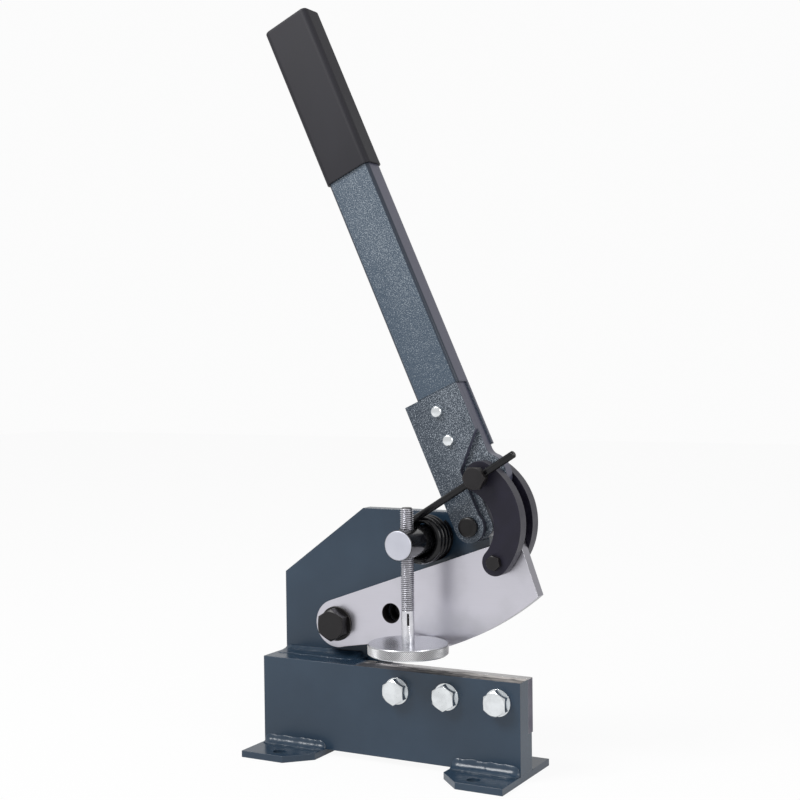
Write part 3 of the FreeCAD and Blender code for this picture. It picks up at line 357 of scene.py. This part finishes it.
upper_steel, place = start_finish("upper_blade_steel")
edges, edge_mask = worn_edges(place, 0.00035)
lines = place.noise(900.0, 3.0, (0.05, 1, 1))
stain = place.noise(24.0, 4.0).between(0.45, 0.72)
colour = stain.blend((0.60, 0.59, 0.65), (0.55, 0.545, 0.59))
colour = (lines * 0.1).blend(colour, (0.36, 0.355, 0.39))
colour = flat_sides(place).blend((0.33, 0.325, 0.36), colour)
colour = (edge_mask * 0.5).blend(colour, (0.88, 0.88, 0.9))
# The wall of the round hole is painted near black: painted shade inside the hole.
bore_shade = 1.0 - from_line(place, BAR_HOLE, (1, 0, 1)).between(0.00765, 0.008)
end_finish(
    upper_steel,
    {
        "Base Color": bore_shade.blend(colour, (0.010, 0.008, 0.009)),
        "Roughness": 0.27 + 0.1 * stain + 0.06 * lines + 0.2 * bore_shade,
        "Metallic": 1.0 - 0.8 * bore_shade,
        "Normal": place.node("Bump", {}, {"Strength": 0.12, "Distance": 0.00005,
                                          "Height": lines, "Normal": edges}),
    },
)
coat(upper_steel, "upper_blade")

# Blade pivot
# A big hex bolt with a washer, and its nut behind the plate, all in oiled black oxide that has
# rubbed to brown on the corners.


def black_oxide(name, tint, rubbed, shine, wear=0.5, cut=None):
    """Oiled black oxide. rubbed is what wears through on the corners, and cut the lighter colour
    painted on the edges that are cut across a flat part, as a painted highlight."""
    finish, place = start_finish(name)
    edges, edge_mask = worn_edges(place, 0.0005)
    cloud = place.noise(90.0, 4.0).between(0.35, 0.7)
    colour = (cloud * 0.6).blend(tint, tuple(1.5 * share for share in tint))
    # The cut edges are painted lighter: a painted highlight.
    if cut:
        colour = flat_sides(place).blend(cut, colour)
    return end_finish(
        finish,
        {
            "Base Color": (edge_mask * wear).blend(colour, rubbed),
            "Roughness": shine + 0.12 * cloud,
            "Normal": place.node("Bump", {}, {"Strength": 0.18, "Distance": 0.0002,
                                              "Height": place.noise(500.0, 3.0), "Normal": edges}),
        },
        Metallic=0.35,
    )


bolt_black = black_oxide("bolt_black", (0.009, 0.008, 0.009), (0.15, 0.13, 0.11), 0.34)
coat(bolt_black, "blade_pivot_bolt", "blade_pivot_washer", "blade_pivot_nut")

# Handle plates
# The handle's lower end: a 10 mm plate with a lobe for the links' pin, and a thinner cheek in
# front of it. Both are sprayed in slate hammer paint, which flows into small bright flecks.
LEAN = math.radians(24.2)


def hammer_paint(name, ground, fleck, edge, rounding, first, last):
    """Slate hammer paint. Its bright flecks grow more from the height first up to last, a painted
    light that leaves the lower part in painted shade, and towards the handle's right edge. The
    narrow sides are sprayed thin and dry smooth, and their lighter violet is a painted highlight."""
    finish, place = start_finish(name)
    edges, edge_mask = worn_edges(place, rounding)
    flat = flat_sides(place)
    bend = place.node("TexNoise", {}, {"Vector": place, "Scale": 1400.0, "Detail": 1.0}, "Color")
    bent = place.node("Mix", {"data_type": "VECTOR"}, {0: 0.0005, 4: place, 5: bend}, 1)
    cells = place.node("TexVoronoi", {"feature": "SMOOTH_F1"},
                       {"Vector": bent, "Scale": 1450.0, "Smoothness": 0.4}, "Distance")
    across = place.axis("X") * math.cos(LEAN) + place.axis("Z") * math.sin(LEAN)
    # More bright flecks higher up is painted light, leaving the lower end in painted shade; they
    # also thicken towards the right edge and at random.
    fleck_lift_and_painted_light = place.axis("Z").between(first, last) * 0.10 + across.between(0.125, 0.149) * 0.05
    fleck_lift_and_painted_light = fleck_lift_and_painted_light + place.noise(28.0, 2.0) * 0.08
    flecks = place.noise(2500.0, 2.0)
    bright = (cells * 0.6 + flecks * 0.7 + fleck_lift_and_painted_light).between(0.80, 1.04)
    # The narrow sides take a smooth, lighter violet: a painted highlight for the light they catch.
    colour = flat.blend((0.082, 0.084, 0.125), bright.blend(ground, fleck))
    # Round corners take the edge colour too; on the tube it is darker, as painted shade where its
    # corners turn from the light.
    turn = facing(place)
    corner_shade = turn.between(0.05, 0.2) - turn.between(0.9, 0.99)
    edge_mask = edge_mask.math("MAXIMUM", edge_mask, corner_shade)
    return end_finish(
        finish,
        {
            "Base Color": edge_mask.blend(colour, edge),
            "Roughness": 0.26 + 0.1 * flecks,
            "Normal": place.node("Bump", {}, {"Strength": 0.35, "Distance": 0.00015,
                                              "Height": cells * flat, "Normal": edges}),
        },
        Metallic=0.15,
    )


plate_paint = hammer_paint("plate_hammer_paint", (0.026, 0.038, 0.055), (0.34, 0.38, 0.43),
                           (0.055, 0.065, 0.085), 0.0007, 0.10, 0.24)
coat(plate_paint, "lever_plate", "lever_cheek")

# Handle tube
# A rectangular steel tube with round corners that ends in a channel behind the handle plates.
# It has the same hammer paint, bluer, with its flecks brighter towards the top as painted light
# and its round corners darker as painted shade.
tube_paint = hammer_paint("tube_hammer_paint", (0.052, 0.078, 0.112), (0.30, 0.34, 0.38),
                          (0.022, 0.031, 0.048), 0.0022, 0.24, 0.42)
coat(tube_paint, "lever_tube")

# Rivets
# Two zinc-plated rivets through cheek, plate and channel, with their heads turned flat.
for name, centre in (("upper", (0.03687, 0.265385)), ("lower", (0.04646, 0.24404))):
    rivet = bmesh.new()
    turned_piece(rivet, centre, (
        (0, 0.0042), (0.0030, 0.00425), (0.0037, 0.0045), (0.0042, 0.0051), (0.0045, 0.0059),
        (0.0045, 0.0077), (0.0030, 0.0077), (0.0030, 0.0277), (0, 0.0277)), 40)
    head = finished("rivet_" + name, rivet, zinc, "handle")
    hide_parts("lever_rivet_" + name)

# Grip
# A black PVC sleeve that is dipped or pushed over the tube's end. Its skin is matt, with
# faint flow marks and a fine grain.
sleeve, place = start_finish("grip_sleeve")
edges = worn_edges(place, 0.0012)[0]
flow = place.noise(18.0, 3.0, (1, 1, 0.35)).between(0.3, 0.7)
grain = place.noise(1500.0, 3.0)
end_finish(
    sleeve,
    {
        "Base Color": flow.blend((0.0055, 0.005, 0.0095), (0.0115, 0.011, 0.0165)),
        "Roughness": 0.48 + 0.12 * flow,
        "Normal": place.node("Bump", {}, {"Strength": 0.12, "Distance": 0.0001,
                                          "Height": grain + flow * 2.0, "Normal": edges}),
    },
    Specular_IOR_Level=0.38,
)
coat(sleeve, "grip")

# Handle pivot
# A turned pin with a flat round head in front and a hex nut behind the plate, in black oxide.
HANDLE_PIVOT = (0.062005, 0.1802)
pin = bmesh.new()
turned_piece(pin, HANDLE_PIVOT, (
    (0, 0.0044), (0.0046, 0.0043), (0.0060, 0.0041), (0.0068, 0.0043), (0.0075, 0.0050),
    (0.0075, 0.0076), (0.0050, 0.0076), (0.0050, 0.0429), (0.0043, 0.0438), (0, 0.0438)))
pin_black = black_oxide("pin_black", (0.004, 0.0035, 0.004), (0.22, 0.20, 0.18), 0.3, 0.6)
lever_pin = finished("lever_pin", pin, pin_black, "frame")
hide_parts("lever_pivot_bolt")
coat(bolt_black, "lever_pivot_nut")

# Links
# Two bowed 10 mm links, one each side of the blade and the handle plate, held below by one hex
# bolt. They are flame-cut and blackened, and their cut edges are painted a little lighter as a
# painted highlight.
link_black = black_oxide("link_black", (0.007, 0.006, 0.0155), (0.12, 0.118, 0.135), 0.42, 0.3,
                         (0.046, 0.044, 0.058))
coat(link_black, "front_link", "rear_link")
coat(bolt_black, "link_bolt", "link_nut")

# Eye bolt
# The links' upper pin is a blackened hex bolt with a cross hole under its head, where the
# spring's arm slides through.
coat(bolt_black, "eye_bolt", "eye_bolt_nut")

# Hold-down bar
# A round bar pressed into the frame plate. It is blackened and oiled, and its front face is
# turned bright.
bar_black, place = start_finish("hold_bar_black")
edges = worn_edges(place, 0.0004)[0]
HOLD_BAR_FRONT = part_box("hold_down_bar")[0].y
bare = 1.0 - place.axis("Y").between(HOLD_BAR_FRONT + 0.0004, HOLD_BAR_FRONT + 0.0007)
cloud = place.noise(70.0, 3.0).between(0.3, 0.7)
end_finish(
    bar_black,
    {
        "Base Color": bare.blend(cloud.blend((0.005, 0.005, 0.006), (0.012, 0.012, 0.014)),
                                 cloud.blend((0.54, 0.55, 0.62), (0.58, 0.59, 0.66))),
        "Roughness": 0.16 + 0.22 * bare + 0.06 * cloud,
        "Metallic": 0.3 + 0.5 * bare,
        "Coat Weight": 0.8 - 0.8 * bare,
        "Normal": edges,
    },
    Coat_Roughness=0.06,
)
coat(bar_black, "hold_down_bar")

# Return spring
# Round 5.5 mm spring wire, blackened and glossy with oil. Its coil sits on the hold-down bar,
# and its long arm slides through the eye bolt.
WIRE_RADIUS = 0.00275
COIL_RADIUS = 0.0153
COIL_PITCH = 0.0058
TURNS = 3.8
COIL_STEPS = 160
ARM_LENGTH = 0.1012
TIP_LENGTH = 0.0008
PLATE_GAP = 0.0003
NEAR = 1e-6
HOLD_BAR = (0.025, 0.1694)
EYE = (0.074028, 0.217838)
arm_lean = math.atan2(EYE[1] - HOLD_BAR[1], EYE[0] - HOLD_BAR[0])
arm_lean -= math.asin(COIL_RADIUS / math.hypot(EYE[1] - HOLD_BAR[1], EYE[0] - HOLD_BAR[0]))
arm_y = PLATE_FRONT - PLATE_GAP - WIRE_RADIUS - COIL_PITCH * TURNS
wire = bmesh.new()
bmesh.ops.create_circle(wire, segments=16, radius=WIRE_RADIUS)
bmesh.ops.rotate(wire, verts=wire.verts, matrix=Matrix.Rotation(math.pi / 2, 3, "Y"))
bmesh.ops.translate(wire, verts=wire.verts, vec=(0, 0, COIL_RADIUS))
bmesh.ops.spin(wire, geom=wire.verts[:] + wire.edges[:], angle=-TURNS * 2 * math.pi,
               steps=COIL_STEPS, axis=(0, 1, 0), cent=(0, 0, 0),
               dvec=(0, COIL_PITCH * TURNS / COIL_STEPS, 0))
first_ring = [edge for edge in wire.edges if edge.is_boundary
              and all(abs(vert.co.x) < NEAR and vert.co.z > 0
                      and abs(vert.co.y) < WIRE_RADIUS + NEAR for vert in edge.verts)]
arm = bmesh.ops.extrude_edge_only(wire, edges=first_ring)
arm_end = [item for item in arm["geom"] if isinstance(item, bmesh.types.BMVert)]
bmesh.ops.translate(wire, verts=arm_end, vec=(ARM_LENGTH, 0, 0))
tip = [edge for edge in wire.edges if edge.is_boundary and edge.verts[0].co.x > 0.1]
tip = bmesh.ops.extrude_edge_only(wire, edges=tip)
tip_end = [item for item in tip["geom"] if isinstance(item, bmesh.types.BMVert)]
bmesh.ops.translate(wire, verts=tip_end, vec=(TIP_LENGTH, 0, 0))
bmesh.ops.scale(wire, verts=tip_end, vec=(1, 0.7, 0.7),
                space=Matrix.Translation((0, 0, -COIL_RADIUS)))
bmesh.ops.holes_fill(wire, edges=wire.edges, sides=0)
bmesh.ops.rotate(wire, verts=wire.verts, matrix=Matrix.Rotation(-arm_lean, 3, "Y"))
bmesh.ops.translate(wire, verts=wire.verts, vec=(HOLD_BAR[0], arm_y, HOLD_BAR[1]))
wire_black = black_oxide("spring_black", (0.004, 0.004, 0.005), (0.03, 0.03, 0.033), 0.14, 0.1)
spring = finished("spring_wire", wire, wire_black, "return_spring")
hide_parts("return_spring")

# Hold-down screw
# An M10 screw through the hold-down bar, zinc-plated, with a plain shank that carries the foot
# and a short slot in its front. The thread is cut at a pitch of 1.5 mm.
THREAD_PITCH = 0.0015
THREAD_RADIUS = 0.005
THREAD_ROOT = 0.00412
screw_low, screw_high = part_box("hold_down_screw")
screw_x = (screw_low.x + screw_high.x) / 2
screw_y = (screw_low.y + screw_high.y) / 2
THREAD_LOW = 0.120
THREAD_TOP = screw_high.z + 0.0055
THREAD_CHAMFER = 0.0016
THREAD_STEPS = 40
THREAD_OUTLINE = ((THREAD_RADIUS, 0.0), (THREAD_RADIUS, 0.12),
                  (THREAD_ROOT, 0.5), (THREAD_ROOT, 0.62))
turns = math.ceil((THREAD_TOP - THREAD_LOW) / THREAD_PITCH) + 2
thread = bmesh.new()
line = []
for index in range(turns):
    height = THREAD_LOW + (index - 1) * THREAD_PITCH
    for radius, rise in THREAD_OUTLINE:
        line.append(thread.verts.new((radius, 0, height + rise * THREAD_PITCH)))
line.append(thread.verts.new((THREAD_RADIUS, 0, THREAD_LOW + (turns - 1) * THREAD_PITCH)))
for first, second in zip(line, line[1:]):
    thread.edges.new((first, second))
bmesh.ops.spin(thread, geom=thread.verts[:] + thread.edges[:], angle=2 * math.pi,
               steps=THREAD_STEPS, axis=(0, 0, 1), cent=(0, 0, 0),
               dvec=(0, 0, THREAD_PITCH / THREAD_STEPS))
bmesh.ops.remove_doubles(thread, verts=thread.verts, dist=0.00001)


def cut_off(shape, level, way):
    """Cut away all above a level where way is 1, or all below it where way is -1."""
    return bmesh.ops.bisect_plane(shape, geom=shape.verts[:] + shape.edges[:] + shape.faces[:],
                                  plane_co=(0, 0, level), plane_no=(0, 0, way), clear_outer=True)


cut_off(thread, THREAD_LOW, -1)
cut_off(thread, THREAD_TOP, 1)
for vert in thread.verts:
    into_chamfer = vert.co.z - (THREAD_TOP - THREAD_CHAMFER)
    if into_chamfer > 0:
        limit = THREAD_RADIUS - into_chamfer
        flat = Vector((vert.co.x, vert.co.y, 0))
        if flat.length > limit:
            flat.length = limit
            vert.co = (flat.x, flat.y, vert.co.z)
bmesh.ops.translate(thread, verts=thread.verts, vec=(screw_x, screw_y, 0))
bmesh.ops.holes_fill(thread, edges=thread.edges, sides=0)
shank = bmesh.new()
shank.from_mesh(parts["hold_down_screw"].data)
bmesh.ops.remove_doubles(shank, verts=shank.verts, dist=0.000005)
cut = cut_off(shank, THREAD_LOW - 0.0001, 1)["geom_cut"]
cut = [item for item in cut if isinstance(item, bmesh.types.BMVert)]
bmesh.ops.translate(shank, verts=cut, vec=(0, 0, 0.0002))
bmesh.ops.holes_fill(shank, edges=shank.edges, sides=0)
bmesh.ops.rotate(shank, verts=shank.verts, cent=(screw_x, screw_y, 0),
                 matrix=Matrix.Rotation(math.radians(30), 3, "Z"))


def screw_zinc(name, root, crest, hollow_shade):
    """Zinc with painted shade down in its hollows, from the radius root out to crest."""
    finish, place = start_finish(name)
    edges = worn_edges(place, 0.00008)[0]
    unshaded = from_line(place, (screw_x, screw_y, 0), (1, 1, 0)).between(root, crest)
    cloud = place.noise(130.0, 4.0).between(0.3, 0.7)
    colour = cloud.blend((0.74, 0.74, 0.78), (0.62, 0.62, 0.66))
    return end_finish(
        finish,
        {
            "Base Color": unshaded.blend(hollow_shade, colour),
            "Roughness": 0.22 + 0.1 * cloud + 0.2 * (1.0 - unshaded),
            "Normal": edges,
        },
        Metallic=1.0,
    )


# Painted shade darkens the thread's roots, and the shank's slot most of all.
thread_zinc = screw_zinc("thread_zinc", 0.0040, 0.0046, (0.16, 0.155, 0.16))
shank_zinc = screw_zinc("shank_zinc", 0.0038, 0.0045, (0.03, 0.027, 0.028))
screw_thread = finished("screw_thread", thread, thread_zinc, "hold_down")
screw_shank = finished("screw_shank", shank, shank_zinc, "hold_down")
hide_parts("hold_down_screw")

# Hold-down foot
# A round steel pad under the screw, turned bright on top, with a diamond knurl round its rim
# for the fingers.
foot_low, foot_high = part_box("hold_down_foot")
FOOT_RADIUS = (foot_high.x - foot_low.x) / 2
RIM_BREAK = 0.0008
KNURLS = 130
KNURL_DEPTH = 0.0004
knurl_base = FOOT_RADIUS - KNURL_DEPTH
knurl_width = 2 * knurl_base * math.tan(math.pi / KNURLS)
band_low = foot_low.z + RIM_BREAK
band_high = foot_high.z - RIM_BREAK
rows = math.ceil((band_high - band_low) / knurl_width) + 1
pad = bmesh.new()
bmesh.ops.create_circle(pad, cap_ends=True, segments=4, radius=knurl_width / 2)
bmesh.ops.poke(pad, faces=pad.faces[:], offset=KNURL_DEPTH)
bmesh.ops.rotate(pad, verts=pad.verts, matrix=Matrix.Rotation(math.pi / 2, 3, "Y"))
bmesh.ops.translate(pad, verts=pad.verts, vec=(knurl_base, 0, band_low))
staggered = bmesh.ops.duplicate(pad, geom=pad.verts[:] + pad.edges[:] + pad.faces[:])
staggered = [item for item in staggered["geom"] if isinstance(item, bmesh.types.BMVert)]
bmesh.ops.rotate(pad, verts=staggered, matrix=Matrix.Rotation(math.pi / KNURLS, 3, "Z"))
bmesh.ops.translate(pad, verts=staggered, vec=(0, 0, knurl_width / 2))
bmesh.ops.spin(pad, geom=pad.verts[:] + pad.edges[:] + pad.faces[:], angle=0, steps=rows,
               axis=(0, 0, 1), cent=(0, 0, 0), dvec=(0, 0, knurl_width), use_duplicate=True)
bmesh.ops.spin(pad, geom=pad.verts[:] + pad.edges[:] + pad.faces[:], steps=KNURLS - 1,
               angle=2 * math.pi * (KNURLS - 1) / KNURLS, axis=(0, 0, 1), cent=(0, 0, 0),
               use_duplicate=True)
bmesh.ops.remove_doubles(pad, verts=pad.verts, dist=0.00002)
cut_off(pad, band_low, -1)
cut_off(pad, band_high, 1)


def draw_ring(shape, edges, radius, height):
    """Extrude a round border to a new radius and height."""
    made = bmesh.ops.extrude_edge_only(shape, edges=edges)["geom"]
    for vert in made:
        if isinstance(vert, bmesh.types.BMVert):
            flat = Vector((vert.co.x, vert.co.y, 0))
            flat.length = radius
            vert.co = (flat.x, flat.y, height)
    return [edge for edge in made if isinstance(edge, bmesh.types.BMEdge) and edge.is_boundary]


SHANK_HOLE = 0.00475
borders = []
for band, level in ((band_low, foot_low.z), (band_high, foot_high.z)):
    border = [edge for edge in pad.edges if edge.is_boundary
              and all(abs(vert.co.z - band) < NEAR for vert in edge.verts)]
    border = draw_ring(pad, border, knurl_base, band)
    border = draw_ring(pad, border, FOOT_RADIUS - RIM_BREAK, level)
    borders += draw_ring(pad, border, SHANK_HOLE, level)
bmesh.ops.bridge_loops(pad, edges=borders)
bmesh.ops.translate(pad, verts=pad.verts, vec=(screw_x, screw_y, 0))
turned, place = start_finish("turned_steel")
edges = worn_edges(place, 0.00005)[0]
radius = from_line(place, (screw_x, screw_y, 0), (1, 1, 0))
rings = place.node("TexNoise", {"noise_dimensions": "1D"},
                   {"W": radius, "Scale": 1400.0, "Detail": 1.0}, "Fac")
cloud = place.noise(30.0, 3.0).between(0.3, 0.75)
rim = radius.between(knurl_base - 0.00012, knurl_base - 0.00004)
# The knurl's valleys are painted dark: painted shade between the teeth.
groove_shade = rim * (1.0 - radius.between(knurl_base + 0.00006, FOOT_RADIUS - 0.00006))
colour = (cloud * 0.4).blend((0.62, 0.63, 0.66), (0.54, 0.55, 0.58))
colour = rim.blend(colour, (0.93, 0.93, 0.94))
end_finish(
    turned,
    {
        "Base Color": (groove_shade * 0.9).blend(colour, (0.09, 0.09, 0.10)),
        "Roughness": 0.24 + 0.03 * cloud + 0.1 * rim,
        "Normal": place.node("Bump", {}, {"Strength": 0.03, "Distance": 0.0001,
                                          "Height": rings, "Normal": edges}),
    },
    Metallic=1.0,
)
foot = finished("knurled_foot", pad, turned, "hold_down")
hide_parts("hold_down_foot")

# Floor, lights and camera
# A white floor under soft light from the front left, and a camera that stands where the
# photograph was taken from.
floor_mesh = bmesh.new()
bmesh.ops.create_grid(floor_mesh, x_segments=1, y_segments=1, size=4.0)
mesh = bpy.data.meshes.new("floor")
floor_mesh.to_mesh(mesh)
floor_mesh.free()
floor = bpy.data.objects.new("floor", mesh)
bpy.context.scene.collection.objects.link(floor)
white, place = start_finish("white_floor")
end_finish(white, {}, Base_Color=(0.88, 0.88, 0.88, 1), Roughness=0.9)
ray = place.node("LightPath", {}, {}, "Is Camera Ray")
glance = place.node("LightPath", {}, {}, "Is Glossy Ray")
seen = ray.math("MAXIMUM", ray, glance * 0.7) * 0.93
glow = place.node("Emission", {}, {"Color": (1, 1, 1, 1), "Strength": 1.0})
plain = Shade(white.node_tree, white.node_tree.nodes["Principled BSDF"].outputs[0])
mixed = place.node("MixShader", {}, {0: seen, 1: plain, 2: glow})
white.node_tree.links.new(mixed.socket, white.node_tree.nodes["Material Output"].inputs["Surface"])
floor.data.materials.append(white)

sky = bpy.data.worlds.new("studio")
bpy.context.scene.world = sky
sky.use_nodes = True
paper = Shade(sky.node_tree)
ray = paper.node("LightPath", {}, {}, "Is Camera Ray")
glance = paper.node("LightPath", {}, {}, "Is Glossy Ray")
through = paper.node("LightPath", {}, {}, "Is Transmission Ray")
seen = ray.math("MAXIMUM", ray.math("MAXIMUM", ray, glance * 0.6), through)
studio = sky.node_tree.nodes["Background"]
studio.inputs["Color"].default_value = (1, 1, 1, 1)
sky.node_tree.links.new((0.4 + 0.57 * seen).socket, studio.inputs["Strength"])

AIM = Vector((0, 0, 0.28))
for name, spot, size, power in (
    ("key_light", (-0.8, -1.25, 1.7), 0.9, 34.0),
    ("side_light", (1.6, -0.5, 0.9), 0.9, 8.0),
):
    lamp = bpy.data.lights.new(name, "AREA")
    lamp.size = size
    lamp.energy = power
    light = bpy.data.objects.new(name, lamp)
    bpy.context.scene.collection.objects.link(light)
    light.location = spot
    light.rotation_euler = (AIM - Vector(spot)).to_track_quat("-Z", "Y").to_euler()

YAW, DIP, ROLL = math.radians(28.61), math.radians(1.71), math.radians(-0.64)
forward = Vector((-math.sin(YAW) * math.cos(DIP), math.cos(YAW) * math.cos(DIP), -math.sin(DIP)))
right = Vector((math.cos(YAW), math.sin(YAW), 0))
up = right.cross(forward)
rolled_right = math.cos(ROLL) * right + math.sin(ROLL) * up
rolled_up = math.cos(ROLL) * up - math.sin(ROLL) * right
SENSOR_WIDTH = 36
PHOTO_WIDTH = 800
FOCAL_PIXELS = 1403.9
lens = bpy.data.cameras.new("camera")
lens.sensor_width = SENSOR_WIDTH
lens.lens = SENSOR_WIDTH * FOCAL_PIXELS / PHOTO_WIDTH
lens.shift_x = -1.8 / PHOTO_WIDTH
lens.shift_y = 3.4 / PHOTO_WIDTH
camera = bpy.data.objects.new("camera", lens)
bpy.context.scene.collection.objects.link(camera)
camera.location = (0.5146, -0.9235, 0.3031)
turned_to = Matrix((rolled_right, rolled_up, -forward)).transposed()
camera.rotation_euler = turned_to.to_euler()
bpy.context.scene.camera = camera
bpy.context.scene.view_settings.view_transform = "Standard"

bpy.context.view_layer.update()
